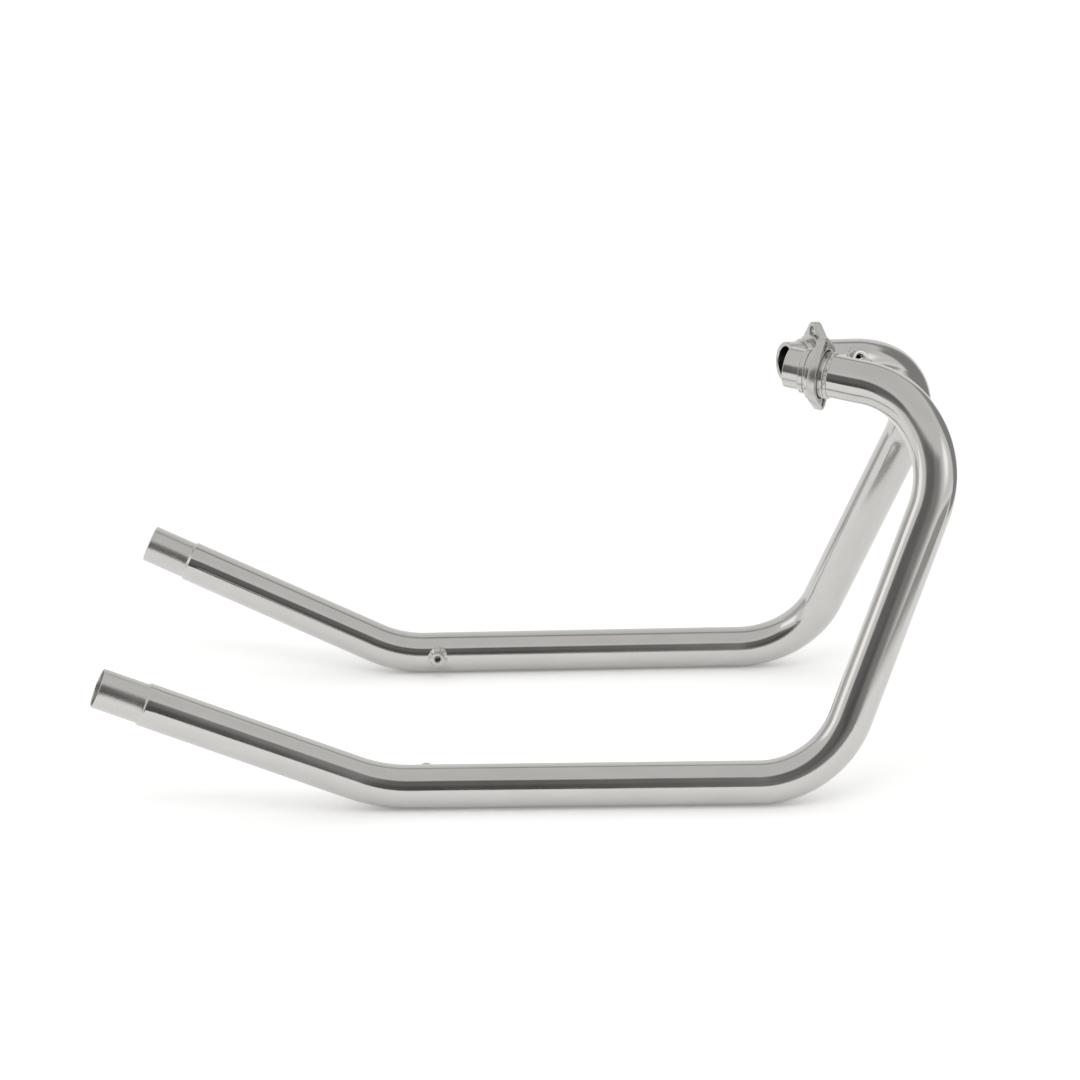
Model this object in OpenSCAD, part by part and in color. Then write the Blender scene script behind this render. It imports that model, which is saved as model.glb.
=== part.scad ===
// Exhaust header for a parallel-twin motorcycle: two mirrored down pipes.
// Units are millimetres. +X is the front of the motorcycle, +Y its left side, +Z up.
// The two pipes stand on their lower runs on the floor, z = 0, and lean in at the heads.
// Each pipe is laid out from its lower run, forwards to the head and back to the tail,
// as a tube bender is set: a straight, a turn of the bending plane, then a bend.

/* [Tube] */
// Outer diameter of the header tube
tube_d = 38.1; // [30:0.1:50]
// Wall of the header tube
tube_wall = 1.5; // [1:0.1:2.5]
// How much the tube's radius is drawn down in a bend
bend_draw = 0.1; // [0.05:0.01:0.3]
// Length over which the end of a straight is eased down to meet a bend
bend_ease = 1; // [0.8:0.1:2]

/* [Stance of the pair] */
// Distance from the middle plane to each lower run, at its rear end
run_offset = 176.5; // [120:0.5:260]
// Angle of each lower run away from straight ahead
run_yaw = 0.5; // [-5:0.1:8]
// Lean of the right pipe towards the middle, about its lower run
right_lean = 13; // [5:0.1:20]
// Lean of the left pipe towards the middle, about its lower run
left_lean = 16.5; // [5:0.1:20]
// Shift of both pipes along X that centres the part on its origin
stance_x = 48; // [0:0.1:100]
// Shift of both pipes along Y that centres the part on its origin
stance_y = 3.2; // [-10:0.1:10]

/* [Lower run and tail] */
// Straight length of the lower run
run_len = 300; // [150:1:450]
// Turn of the rear bend outwards, against the plane of the front bend
rear_turn = 29.5; // [0:0.5:60]
// Angle of the rear bend
rear_bend = 25; // [5:0.5:60]
// Radius of the rear bend, at the tube's middle
rear_bend_r = 118; // [60:1:200]
// Straight length of the tail, with its reduced end
tail_len = 235; // [120:1:400]
// Outer diameter of the reduced end that enters the silencer's pipe
spigot_d = 35; // [25:0.1:45]
// Length of the reduced end
spigot_len = 40; // [20:1:80]
// Length of the shoulder between the tube and the reduced end
shoulder_len = 3; // [1:0.5:10]
// Length of the rounded lip at the very end
spigot_edge = 1; // [0.5:0.1:2]

/* [Front bend, riser and head bends] */
// Angle of the front bend
front_bend = 69; // [40:0.5:90]
// Radius of the front bend
front_bend_r = 86; // [60:1:160]
// Straight length of the riser
riser_len = 188.5; // [80:1:320]
// Turn of the first head bend's plane against the front one
head_turn_1 = 26; // [0:0.5:60]
// Angle of the first head bend
head_bend_1 = 55.5; // [20:0.5:80]
// Radius of the first head bend
head_bend_r1 = 86; // [60:1:120]
// Short straight between the two head bends
head_straight = 3; // [3:0.5:60]
// Turn of the second head bend's plane against the first
head_turn_2 = -7.5; // [-40:0.5:40]
// Angle of the second head bend
head_bend_2 = 43; // [20:0.5:80]
// Radius of the second head bend
head_bend_r2 = 78; // [60:1:120]
// Straight length from the second head bend to the mouth of the port collar
neck_len = 70.5; // [60:1:140]

/* [Port collar] */
// Outer diameter of the nose that enters the cylinder head
nose_d = 35.8; // [30:0.1:45]
// Bore of the nose
nose_bore_d = 31; // [25:0.1:40]
// Distance from the mouth to the gasket ring
nose_len = 15; // [8:0.5:30]
// Outer diameter of the gasket ring
gasket_ring_d = 40.6; // [38:0.1:52]
// Length of the gasket ring
gasket_ring_len = 5; // [2:0.5:10]
// Outer diameter of the groove behind the gasket ring
groove_d = 38.6; // [36:0.1:46]
// Length of the groove
groove_len = 2.6; // [1:0.1:6]
// Outer diameter of the lip that holds the flange
lip_d = 48; // [44:0.1:60]
// Length of the lip
lip_len = 3.6; // [2:0.1:8]
// Outer diameter of the sleeve behind the lip
sleeve_d = 41.4; // [40:0.1:52]
// Length of the sleeve that the flange turns on
sleeve_len = 11.5; // [9:0.5:25]
// Depth of the tube inside the collar
socket_len = 15; // [6:0.5:30]
// Small chamfer on the collar's turned edges
collar_edge = 0.6; // [0.2:0.1:1.5]

/* [Port flange] */
// Thickness of the flange
flange_t = 7; // [4:0.5:12]
// Gap between the flange and the sleeve, all round
flange_gap = 0.9; // [0.4:0.1:2]
// Gap between the flange and the lip
flange_end_gap = 0.4; // [0.3:0.1:1]
// Diameter of the flange's round middle
flange_d = 54; // [50:0.5:70]
// Distance between the two stud holes
stud_pitch = 54; // [50:0.5:90]
// Diameter of each stud hole
stud_hole_d = 8.5; // [6:0.1:12]
// Radius of the ear round each stud hole
ear_r = 8; // [6:0.5:14]
// Turn of each flange about its pipe, from the plane of the last bend
flange_turn = 38; // [-180:1:180]

/* [Sensor boss] */
// Distance from the mouth to the middle of the boss, along the tube
sensor_back = 62; // [52:0.5:70]
// Turn of the boss about the tube, from the inside of the last bend
sensor_turn = 134; // [0:1:180]
// Outer diameter of the boss
sensor_boss_d = 16; // [12:0.1:26]
// Diameter of the threaded hole, at the thread's crest
sensor_hole_d = 8.9; // [6:0.1:20]
// Height of the boss above the tube
sensor_rise = 7.5; // [4:0.5:16]

/* [Hanger boss] */
// Distance of the hanger boss along the lower run, from the run's rear end
hanger_along = 12; // [10:1:140]
// Turn of the boss about the tube, from the plane of the front bend towards the middle
hanger_turn = 68; // [0:1:120]
// Outer diameter of the boss
hanger_boss_d = 12; // [9:0.1:20]
// Diameter of the threaded hole, at the thread's crest
hanger_hole_d = 5.2; // [4:0.1:10]
// Depth of the threaded hole
hanger_hole_depth = 11; // [5:0.5:16]
// Height of the boss above the tube
hanger_rise = 12.5; // [8:0.5:25]

/* [Welds] */
// Width of a weld bead on the tube
weld_w = 4; // [2:0.1:8]
// Height of a weld bead above the surface it lies on
weld_h = 2; // [1:0.1:4]
// Clearance between pieces that are welded or pushed together
seat = 0.05; // [0.02:0.01:0.2]

/* [Hidden] */
$fn = 96;
tube_r = tube_d / 2;
bore_r = tube_r - tube_wall;
spigot_r = spigot_d / 2;
shoulder_at = tail_len - spigot_len - shoulder_len;
bend_into = 0.7 * bend_ease;
lip_at = nose_len + gasket_ring_len + groove_len;
sleeve_at = lip_at + lip_len;
sleeve_end = sleeve_at + sleeve_len;
flange_at = sleeve_at + flange_end_gap;
tube_end = sleeve_end - socket_len;
socket_r = tube_r + seat;
bead_r = (weld_w * weld_w / 4 + weld_h * weld_h) / (2 * weld_h);
flange_bore_r = sleeve_d / 2 + flange_gap;
steel = [0.74, 0.73, 0.71];
turned = [0.68, 0.67, 0.66];
weld = [0.55, 0.53, 0.52];

// Places its children at the rear end of the left lower run, +X forwards along the
// run and +Z in the plane of the front bend.
module on_left() {
    translate([stance_x, stance_y, 0])
        stand(left_lean)
            children();
}

// The same for the right lower run, as the mirror image of the left.
module on_right() {
    translate([stance_x, stance_y, 0])
        mirror([0, 1, 0])
            stand(right_lean)
                children();
}

// Stands a pipe on its lower run, leaning towards the middle plane.
module stand(lean) {
    translate([-run_len / 2, run_offset, tube_r])
        rotate([0, 0, run_yaw])
            rotate([lean, 0, 0])
                children();
}

// Moves its children past a straight.
module past_straight(len) {
    translate([len, 0, 0])
        children();
}

// Moves its children past a bend whose plane is turned about the tube.
module past_bend(turn, angle, r) {
    rotate([turn, 0, 0])
        translate([0, 0, r])
            rotate([0, -angle, 0])
                translate([0, 0, -r])
                    children();
}

// One straight stretch of round bar. Both its ends are eased down to meet the bends.
module straight(len, r) {
    eased_r = r - 2 * bend_draw;
    rotate([0, 90, 0])
        rotate_extrude()
            polygon([[0, 0],
                     [eased_r, 0],
                     [r, bend_ease],
                     [r, len - bend_ease],
                     [eased_r, len],
                     [0, len]]);
}

// One bend of round bar. The bender draws it a little thinner than the straights, and
// each of its ends runs into the eased end of the straight next to it.
module bend(turn, angle, bend_r, r) {
    into = bend_into / bend_r * 180 / PI;
    rotate([turn, 0, 0])
        translate([0, 0, bend_r])
            rotate([90, 0, 0])
                rotate([0, 0, -90 - into])
                    rotate_extrude(angle = angle + 2 * into)
                        translate([bend_r, 0])
                            circle(r - bend_draw);
}

// Places its children at the end of the last bend, +X towards the mouth.
module at_neck() {
    past_straight(run_len)
        past_bend(0, front_bend, front_bend_r)
            past_straight(riser_len)
                past_bend(head_turn_1, head_bend_1, head_bend_r1)
                    past_straight(head_straight)
                        past_bend(head_turn_2, head_bend_2, head_bend_r2)
                            children();
}

// Places its children at the mouth of the port collar, +X out of the mouth.
module at_mouth() {
    at_neck()
        past_straight(neck_len)
            children();
}

// Places its children at the front end of the tail's straight, +X towards the tail end.
module at_tail() {
    mirror([1, 0, 0])
        past_bend(-rear_turn, rear_bend, rear_bend_r)
            children();
}

// Tail straight with its end drawn down to a spigot, as a solid bar.
module tail_bar() {
    rotate([0, 90, 0])
        rotate_extrude()
            polygon([[0, 0],
                     [tube_r - 2 * bend_draw, 0],
                     [tube_r, bend_ease],
                     [tube_r, shoulder_at],
                     [spigot_r, shoulder_at + shoulder_len],
                     [spigot_r, tail_len - spigot_edge],
                     [spigot_r - spigot_edge, tail_len],
                     [0, tail_len]]);
}

// Bore of the tail, which steps down with it and runs out of its end.
module tail_bore() {
    rotate([0, 90, 0])
        rotate_extrude()
            polygon([[0, 0],
                     [bore_r - 2 * bend_draw, 0],
                     [bore_r, bend_ease],
                     [bore_r, shoulder_at],
                     [spigot_r - tube_wall, shoulder_at + shoulder_len],
                     [spigot_r - tube_wall, tail_len + 1],
                     [0, tail_len + 1]]);
}

// Straights and bends from the rear bend to the neck, as round bar of one radius.
module bar(r, beyond) {
    mirror([1, 0, 0])
        bend(-rear_turn, rear_bend, rear_bend_r, r);
    straight(run_len, r);
    past_straight(run_len) {
        bend(0, front_bend, front_bend_r, r);
        past_bend(0, front_bend, front_bend_r) {
            straight(riser_len, r);
            past_straight(riser_len) {
                bend(head_turn_1, head_bend_1, head_bend_r1, r);
                past_bend(head_turn_1, head_bend_1, head_bend_r1) {
                    straight(head_straight, r);
                    past_straight(head_straight)
                        bend(head_turn_2, head_bend_2, head_bend_r2, r);
                }
            }
        }
    }
    at_neck()
        straight(neck_len - tube_end + beyond, r);
}

// Bent tube, from the tail end to where it stops inside the port collar, drilled
// under the sensor boss.
module header_pipe() {
    difference() {
        union() {
            at_tail()
                tail_bar();
            bar(tube_r, 0);
        }
        at_tail()
            tail_bore();
        bar(bore_r, 1);
        at_sensor()
            cylinder(h = tube_r + sensor_rise, d = sensor_hole_d);
    }
}

// Collar turned from one piece: nose, gasket ring, groove, lip and sleeve, with a
// stepped bore that takes the end of the tube.
module port_collar() {
    e = collar_edge;
    ring_r = gasket_ring_d / 2;
    lip_r = lip_d / 2;
    sleeve_r = sleeve_d / 2;
    rotate([0, -90, 0])
        rotate_extrude()
            polygon([[nose_bore_d / 2 + e, 0],
                     [nose_d / 2 - e, 0],
                     [nose_d / 2, e],
                     [nose_d / 2, nose_len],
                     [ring_r - e, nose_len],
                     [ring_r, nose_len + e],
                     [ring_r, nose_len + gasket_ring_len - e],
                     [ring_r - e, nose_len + gasket_ring_len],
                     [groove_d / 2, nose_len + gasket_ring_len],
                     [groove_d / 2, lip_at],
                     [lip_r - e, lip_at],
                     [lip_r, lip_at + e],
                     [lip_r, sleeve_at - e],
                     [lip_r - e, sleeve_at],
                     [sleeve_r, sleeve_at],
                     [sleeve_r, sleeve_end - e],
                     [sleeve_r - e, sleeve_end],
                     [socket_r, sleeve_end],
                     [socket_r, tube_end - seat],
                     [nose_bore_d / 2, tube_end - seat],
                     [nose_bore_d / 2, e]]);
}

// Bead round the tube that joins the collar to it.
module collar_weld() {
    rotate([0, -90, 0])
        rotate_extrude()
            intersection() {
                translate([tube_r + weld_h - bead_r, sleeve_end + weld_w / 2])
                    circle(bead_r);
                translate([socket_r, sleeve_end + seat])
                    square([weld_h + bead_r, weld_w]);
            }
}

// Points of an arc about a centre, from one angle to another.
function arc(centre, r, from, to, steps) =
    [for (i = [0 : steps])
        centre + r * [cos(from + (to - from) * i / steps), sin(from + (to - from) * i / steps)]];

// Outline of the flange: a round middle drawn out to an ear at each stud hole, with
// straight sides that touch both rounds.
module flange_outline() {
    reach = stud_pitch / 2;
    side_a = acos((flange_d / 2 - ear_r) / reach);
    polygon(concat(
        arc([reach, 0], ear_r, -side_a, side_a, 24),
        arc([0, 0], flange_d / 2, side_a, 180 - side_a, 24),
        arc([-reach, 0], ear_r, 180 - side_a, 180 + side_a, 24),
        arc([0, 0], flange_d / 2, 180 + side_a, 360 - side_a, 24)));
}

// Loose two-stud flange that turns on the collar's sleeve, held by the lip.
module port_flange() {
    translate([-flange_at, 0, 0])
        rotate([flange_turn, 0, 0])
            rotate([0, -90, 0])
                linear_extrude(flange_t)
                    difference() {
                        flange_outline();
                        circle(flange_bore_r);
                        for (side = [-1, 1])
                            translate([side * stud_pitch / 2, 0])
                                circle(d = stud_hole_d);
                    }
}

// Places its children on the sensor boss's axis, +Z away from the tube.
module at_sensor() {
    at_mouth()
        translate([-sensor_back, 0, 0])
            rotate([sensor_turn, 0, 0])
                children();
}

// Places its children on the hanger boss's axis, +Z away from the tube.
module at_hanger() {
    past_straight(hanger_along)
        rotate([hanger_turn, 0, 0])
            children();
}

// The room that the tube takes near the head, which a boss and its weld are cut to.
module neck_room(r) {
    at_neck() {
        straight(neck_len, r);
        mirror([1, 0, 0])
            bend(0, head_bend_2, head_bend_r2, r);
    }
}

// Boss with a fish-mouthed foot that takes a sensor or a sampling plug.
module sensor_boss() {
    difference() {
        at_sensor()
            difference() {
                cylinder(h = tube_r + sensor_rise, d = sensor_boss_d);
                translate([0, 0, -1])
                    cylinder(h = tube_r + sensor_rise + 2, d = sensor_hole_d);
                translate([0, 0, tube_r + sensor_rise - collar_edge])
                    cylinder(h = 2 * collar_edge, r1 = sensor_hole_d / 2,
                             r2 = sensor_hole_d / 2 + 2 * collar_edge);
            }
        neck_room(socket_r);
    }
}

// Bead that runs round the foot of a boss.
module foot_bead(boss_d, sag) {
    difference() {
        translate([0, 0, tube_r - sag])
            rotate_extrude()
                translate([boss_d / 2, 0])
                    circle(weld_h + sag / 2);
        cylinder(h = 2 * tube_r, r = boss_d / 2 + seat);
    }
}

// Bead round the sensor boss.
module sensor_boss_weld() {
    difference() {
        at_sensor()
            foot_bead(sensor_boss_d, boss_sag(sensor_boss_d));
        neck_room(socket_r);
    }
}

// Blind threaded boss that the rear bracket bolts to.
module hanger_boss() {
    top = tube_r + hanger_rise;
    difference() {
        at_hanger()
            difference() {
                cylinder(h = top, d = hanger_boss_d);
                translate([0, 0, top - hanger_hole_depth])
                    cylinder(h = hanger_hole_depth + 1, d = hanger_hole_d);
                translate([0, 0, top - collar_edge])
                    cylinder(h = 2 * collar_edge, r1 = hanger_hole_d / 2,
                             r2 = hanger_hole_d / 2 + 2 * collar_edge);
            }
        run_room(socket_r);
    }
}

// The room that the tube takes round the rear end of the lower run.
module run_room(r) {
    straight(run_len, r);
    mirror([1, 0, 0])
        bend(-rear_turn, rear_bend, rear_bend_r, r);
}

// Bead round the hanger boss.
module hanger_boss_weld() {
    difference() {
        at_hanger()
            foot_bead(hanger_boss_d, boss_sag(hanger_boss_d));
        run_room(socket_r);
    }
}

// How far the tube's surface falls away at the side of a boss.
function boss_sag(d) = tube_r - sqrt(tube_r * tube_r - d * d / 4);

module right_header_pipe() color(steel) on_right() header_pipe();
module left_header_pipe() color(steel) on_left() header_pipe();
module right_port_collar() color(turned) on_right() at_mouth() port_collar();
module left_port_collar() color(turned) on_left() at_mouth() port_collar();
module right_collar_weld() color(weld) on_right() at_mouth() collar_weld();
module left_collar_weld() color(weld) on_left() at_mouth() collar_weld();
module right_port_flange() color(steel) on_right() at_mouth() port_flange();
module left_port_flange() color(steel) on_left() at_mouth() port_flange();
module right_sensor_boss() color(turned) on_right() sensor_boss();
module left_sensor_boss() color(turned) on_left() sensor_boss();
module right_sensor_boss_weld() color(weld) on_right() sensor_boss_weld();
module left_sensor_boss_weld() color(weld) on_left() sensor_boss_weld();
module right_hanger_boss() color(turned) on_right() hanger_boss();
module left_hanger_boss() color(turned) on_left() hanger_boss();
module right_hanger_boss_weld() color(weld) on_right() hanger_boss_weld();
module left_hanger_boss_weld() color(weld) on_left() hanger_boss_weld();

right_header_pipe();
left_header_pipe();
right_port_collar();
left_port_collar();
right_collar_weld();
left_collar_weld();
right_port_flange();
left_port_flange();
right_sensor_boss();
left_sensor_boss();
right_sensor_boss_weld();
left_sensor_boss_weld();
right_hanger_boss();
left_hanger_boss();
right_hanger_boss_weld();
left_hanger_boss_weld();
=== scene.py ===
"""Looks of a parallel-twin exhaust header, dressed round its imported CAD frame.

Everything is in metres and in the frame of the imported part: +X is the front of the
motorcycle, +Y its left side, +Z up, with the two pipes standing on the floor at z = 0.
"""

import logging
import math
from dataclasses import dataclass, field
from enum import Enum
from typing import Iterable, Sequence

import bmesh
import bpy
import numpy as np
from mathutils import Matrix, Vector


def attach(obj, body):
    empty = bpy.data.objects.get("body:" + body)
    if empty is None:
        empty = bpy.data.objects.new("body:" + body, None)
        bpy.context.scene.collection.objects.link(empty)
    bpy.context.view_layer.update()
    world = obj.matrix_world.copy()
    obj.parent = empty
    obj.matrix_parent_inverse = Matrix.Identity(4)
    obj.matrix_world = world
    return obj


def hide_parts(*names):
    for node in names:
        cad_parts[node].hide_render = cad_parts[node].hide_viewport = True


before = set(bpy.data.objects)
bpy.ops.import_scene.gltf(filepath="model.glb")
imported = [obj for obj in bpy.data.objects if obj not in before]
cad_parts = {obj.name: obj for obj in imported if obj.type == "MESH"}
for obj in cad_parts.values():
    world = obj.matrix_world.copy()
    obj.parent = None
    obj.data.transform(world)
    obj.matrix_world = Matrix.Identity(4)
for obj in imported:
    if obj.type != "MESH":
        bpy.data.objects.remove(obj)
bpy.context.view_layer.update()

log = logging.getLogger("header")

Socket = bpy.types.NodeSocket
Thing = bpy.types.Object
Finish = bpy.types.Material
Colour = tuple[float, float, float]

MIRROR_X = Matrix.Diagonal((-1.0, 1.0, 1.0, 1.0))
MIRROR_Y = Matrix.Diagonal((1.0, -1.0, 1.0, 1.0))
FULL_TURN = 2 * math.pi
# Points nearer than this are one point.
TOUCHING = 0.000002


class Side(Enum):
    """The motorcycle's own sides."""

    RIGHT = "right"
    LEFT = "left"


class Body(Enum):
    """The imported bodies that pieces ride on."""

    PIPES = "header_pipes"
    RIGHT_FLANGE = "right_flange"
    LEFT_FLANGE = "left_flange"


# ---------------------------------------------------------------- small geometry tools


def shift(x: float = 0.0, y: float = 0.0, z: float = 0.0) -> Matrix:
    """A move along the axes."""
    return Matrix.Translation((x, y, z))


def turn(degrees: float, axis: str) -> Matrix:
    """A turn about one axis, in degrees."""
    return Matrix.Rotation(math.radians(degrees), 4, axis)


def link(name: str, data: bpy.types.ID) -> Thing:
    """Puts an object with that data in the scene, at the origin."""
    thing = bpy.data.objects.new(name, data)
    bpy.context.scene.collection.objects.link(thing)
    return thing


def mesh_object(name: str, points: Iterable, edges: Sequence, faces: Sequence) -> Thing:
    """Makes a mesh object at the origin.

    Args:
        name: the object's name.
        points: vertex places, in the part's frame.
        edges: pairs of vertex numbers.
        faces: tuples of vertex numbers.

    Returns:
        The new object, linked to the scene.
    """
    mesh = bpy.data.meshes.new(name)
    mesh.from_pydata([tuple(p) for p in points], list(edges), list(faces))
    mesh.update()
    return link(name, mesh)


def band_faces(rings: int, count: int, closed: bool = False) -> list[tuple[int, ...]]:
    """Four-sided faces between rings of points.

    Args:
        rings: how many rings there are.
        count: points in each ring.
        closed: whether the last ring is joined to the first.

    Returns:
        The faces, each from a point to the next one in its ring and on to the next ring.
    """
    faces: list[tuple[int, ...]] = []
    for i in range(rings if closed else rings - 1):
        j = (i + 1) % rings
        for k in range(count):
            m = (k + 1) % count
            faces.append((i * count + k, i * count + m, j * count + m, j * count + k))
    return faces


def store(thing: Thing, name: str, kind: str, values: Sequence) -> None:
    """Stores one value for each point of a mesh."""
    field_name = "vector" if kind == "FLOAT_VECTOR" else "value"
    thing.data.attributes.new(name, kind, "POINT").data.foreach_set(field_name, values)


def baked(thing: Thing, every_layer: bool = True) -> bpy.types.Mesh:
    """The object's shape with its modifiers applied, as a plain mesh."""
    graph = bpy.context.evaluated_depsgraph_get()
    graph.update()
    return bpy.data.meshes.new_from_object(
        thing.evaluated_get(graph), preserve_all_data_layers=every_layer, depsgraph=graph
    )


def place(thing: Thing, where: Matrix) -> None:
    """Moves a mesh into the part's frame, and turns its faces back if that mirrors it."""
    thing.data.transform(where)
    if where.to_3x3().determinant() < 0:
        thing.data.flip_normals()


def shade(thing: Thing, sharp_degrees: float) -> None:
    """Shades a mesh smooth, and sharp where two faces meet at more than an angle."""
    thing.data.shade_smooth()
    thing.data.set_sharp_from_angle(angle=math.radians(sharp_degrees))


def weld_doubles(thing: Thing) -> None:
    """Joins a mesh's doubled points and turns its faces outwards."""
    work = bmesh.new()
    work.from_mesh(thing.data)
    bmesh.ops.remove_doubles(work, verts=work.verts, dist=TOUCHING)
    bmesh.ops.recalc_face_normals(work, faces=work.faces)
    work.to_mesh(thing.data)
    work.free()


# ---------------------------------------------------------------- finishes


class NodeDesk:
    """A node tree, with short calls to add and join nodes."""

    def __init__(self, tree: bpy.types.NodeTree) -> None:
        """Takes the tree to work on."""
        self.tree = tree

    def add(self, kind: str, values: dict | None = None, **settings: object) -> bpy.types.Node:
        """Adds a node.

        Args:
            kind: the node's type name.
            values: sockets by name or number, and what each is set or joined to.
            settings: the node's own properties.

        Returns:
            The node.
        """
        node = self.tree.nodes.new(kind)
        for key, value in settings.items():
            setattr(node, key, value)
        for key, value in (values or {}).items():
            if isinstance(value, Socket):
                self.tree.links.new(value, node.inputs[key])
            else:
                node.inputs[key].default_value = value
        return node

    def out(self, kind: str, values: dict | None = None, **settings: object) -> Socket:
        """Adds a node as add does, and gives its first output."""
        return self.add(kind, values, **settings).outputs[0]

    def sum(self, operation: str, a: object, b: object = 0.0, clamp: bool = False) -> Socket:
        """One sum on one or two values, each a number or an output."""
        return self.out("ShaderNodeMath", {0: a, 1: b}, operation=operation, use_clamp=clamp)

    def span(self, value: Socket, start: float, end: float, low: float, high: float) -> Socket:
        """Maps a value from start and end to low and high."""
        return self.out(
            "ShaderNodeMapRange",
            {"Value": value, "From Min": start, "From Max": end, "To Min": low, "To Max": high},
        )


def rgba(colour: Sequence[float], gain: float = 1.0) -> tuple[float, float, float, float]:
    """A colour with its alpha, some shades lighter or darker."""
    return (colour[0] * gain, colour[1] * gain, colour[2] * gain, 1.0)


class NodeSheet(NodeDesk):
    """A material's node tree."""

    def __init__(self, name: str) -> None:
        """Starts an empty material of that name."""
        self.material = bpy.data.materials.new(name)
        self.material.use_nodes = True
        super().__init__(self.material.node_tree)
        self.tree.nodes.clear()

    def stored(self, name: str, output: str = "Fac") -> Socket:
        """Reads an attribute of the piece."""
        return self.add("ShaderNodeAttribute", attribute_name=name).outputs[output]

    def spot(self) -> Socket:
        """The place on the piece, in the part's frame."""
        return self.add("ShaderNodeTexCoord").outputs["Object"]

    def noise(self, vector: Socket, scale: float, detail: float) -> Socket:
        """Noise from 0 to 1 over a vector."""
        return self.out(
            "ShaderNodeTexNoise", {"Vector": vector, "Scale": scale, "Detail": detail}
        )

    def spread(self, value: Socket, low: float, high: float) -> Socket:
        """Maps the middle of a noise, 0.3 to 0.7, to low and high."""
        return self.span(value, 0.3, 0.7, low, high)

    def mix(self, factor: Socket, a: object, b: object) -> Socket:
        """Mixes two colours."""
        return self.add("ShaderNodeMix", {0: factor, 6: a, 7: b}, data_type="RGBA").outputs[2]

    def bump(self, height: Socket, depth: float, below: Socket | None = None) -> Socket:
        """A bump of some depth in metres, laid on another one."""
        values = {"Height": height, "Distance": depth, "Strength": 1.0}
        if below is not None:
            values["Normal"] = below
        return self.out("ShaderNodeBump", values)

    def end(self, surface: Socket) -> Finish:
        """Ends the sheet in a surface, and returns the material."""
        self.add("ShaderNodeOutputMaterial", {"Surface": surface})
        return self.material

    def metal(self, colour: Socket, roughness: Socket, normal: Socket) -> Finish:
        """Ends the sheet in a bare metal surface, and returns the material."""
        values = {"Base Color": colour, "Metallic": 1.0, "Roughness": roughness, "Normal": normal}
        return self.end(self.out("ShaderNodeBsdfPrincipled", values))


@dataclass(frozen=True)
class PolishedTube:
    """Buffed stainless tube: near a mirror, with lines round it and slow waves along it."""

    colour: Colour = (0.567, 0.555, 0.538)
    tones: tuple[float, float] = (0.97, 1.03)
    haze: tuple[float, float] = (0.06, 0.13)
    haze_scale: float = 1.7
    line_pitch: float = 0.0009
    line_depth: float = 0.0000012
    line_haze: float = 0.03
    wave_length: float = 0.055
    wave_depth: float = 0.00006
    streak_length: float = 0.16
    streak_count: float = 4.5
    streak_depth: float = 0.000014
    hair_count: float = 15.0
    hair_depth: float = 0.0000075
    satin_roughness: float = 0.16

    def material(self) -> Finish:
        """Builds the material over the tube's own coordinates: along it, and round it."""
        sheet = NodeSheet("polished_tube")
        along = sheet.stored("along")
        rim = sheet.add("ShaderNodeSeparateXYZ", {0: sheet.stored("around", "Vector")}).outputs

        def grid(length: float, count: float = 1.0) -> Socket:
            """Coordinates that grow by one in each length along, and by a count round the rim."""
            round_x, round_y = (sheet.sum("MULTIPLY", rim[i], count) for i in (0, 1))
            steps = sheet.sum("DIVIDE", along, length)
            return sheet.out("ShaderNodeCombineXYZ", {"X": steps, "Y": round_x, "Z": round_y})

        waves = grid(self.wave_length)
        smear = sheet.noise(waves, self.haze_scale, 4.0)
        fine = sheet.noise(grid(self.line_pitch), 1.0, 3.0)
        lined = sheet.spread(fine, 0.0, self.line_haze)
        rough = sheet.sum("ADD", sheet.spread(smear, *self.haze), lined)
        satin = sheet.sum("MULTIPLY", sheet.stored("drawn"), self.satin_roughness)
        dark, light = (rgba(self.colour, gain) for gain in self.tones)
        tone = sheet.mix(sheet.spread(smear, 0.0, 1.0), dark, light)
        normal = sheet.bump(sheet.noise(waves, 1.0, 1.0), self.wave_depth)
        for count, depth in (
            (self.streak_count, self.streak_depth),
            (self.hair_count, self.hair_depth),
        ):
            streaks = sheet.noise(grid(self.streak_length, count), 1.0, 1.5)
            normal = sheet.bump(streaks, depth, normal)
        normal = sheet.bump(fine, self.line_depth, normal)
        return sheet.metal(tone, sheet.sum("ADD", rough, satin), normal)


@dataclass(frozen=True)
class TurnedSteel:
    """Steel from the lathe: bright, with fine tool marks round the axis."""

    colour: Colour = (0.585, 0.575, 0.56)
    tones: tuple[float, float] = (0.94, 1.04)
    roughness: float = 0.15
    blotch_roughness: float = 0.12
    blotch_scale: float = 90.0
    wander_scale: float = 420.0
    mark_pitch: float = 0.00032
    mark_depth: float = 0.0000035

    def material(self) -> Finish:
        """Builds the material over the attribute that runs along the lathe's cut."""
        sheet = NodeSheet("turned_steel")
        spot = sheet.spot()
        cuts = sheet.sum("MULTIPLY", sheet.stored("along"), FULL_TURN / self.mark_pitch)
        phase = sheet.sum("ADD", cuts, sheet.noise(spot, self.wander_scale, 3.0))
        marks = sheet.sum("SINE", phase)
        blotch = sheet.noise(spot, self.blotch_scale, 3.0)
        dull = sheet.spread(blotch, 0.0, self.blotch_roughness)
        rough = sheet.sum("ADD", self.roughness, dull)
        dark, light = (rgba(self.colour, gain) for gain in self.tones)
        tone = sheet.mix(blotch, dark, light)
        return sheet.metal(tone, rough, sheet.bump(marks, self.mark_depth))


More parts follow.
